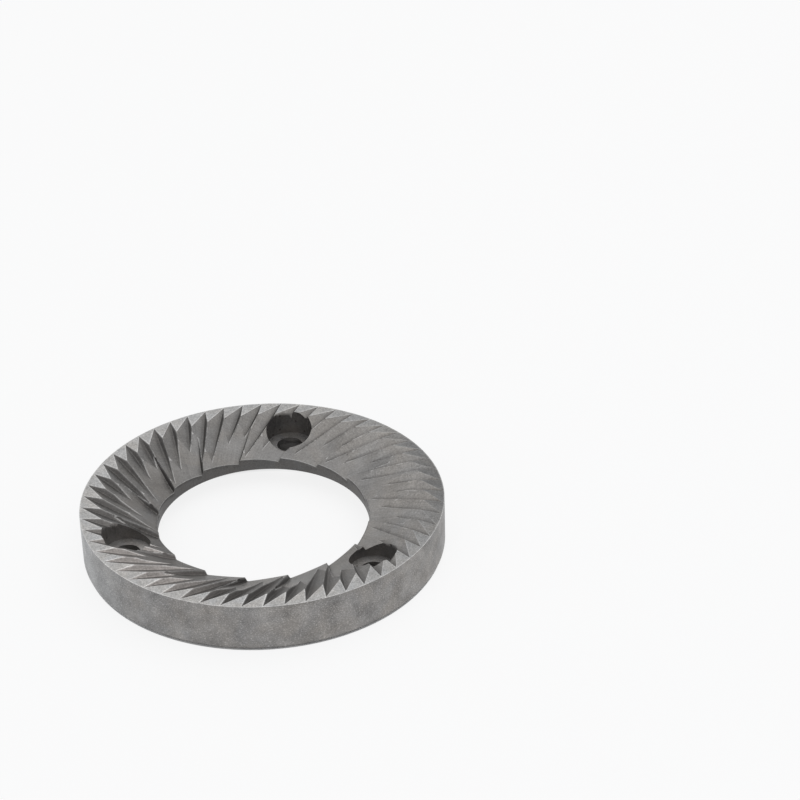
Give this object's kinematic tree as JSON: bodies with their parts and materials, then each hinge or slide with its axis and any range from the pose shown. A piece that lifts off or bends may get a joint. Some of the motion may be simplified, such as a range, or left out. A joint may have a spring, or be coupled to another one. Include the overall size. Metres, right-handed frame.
{
  "type": "coffee grinder burr",
  "caption": "Flat toothed steel burr ring for a coffee grinder, with sunk screw holes, feed grooves at the bore and a recessed back.",
  "frame": {"origin": "centre of the back face, on the burr's axis", "axes": "+Z along the burr's axis, from the back towards the teeth; the first screw hole lies 81.5 degrees from +X towards +Y"},
  "size_m": [0.064, 0.064, 0.009],
  "materials": {
    "burr_steel": "dull dark steel with bright ground lands and specks"
  },
  "bodies": {
    "root": {"burr": "burr_steel"}
  },
  "joints": []
}
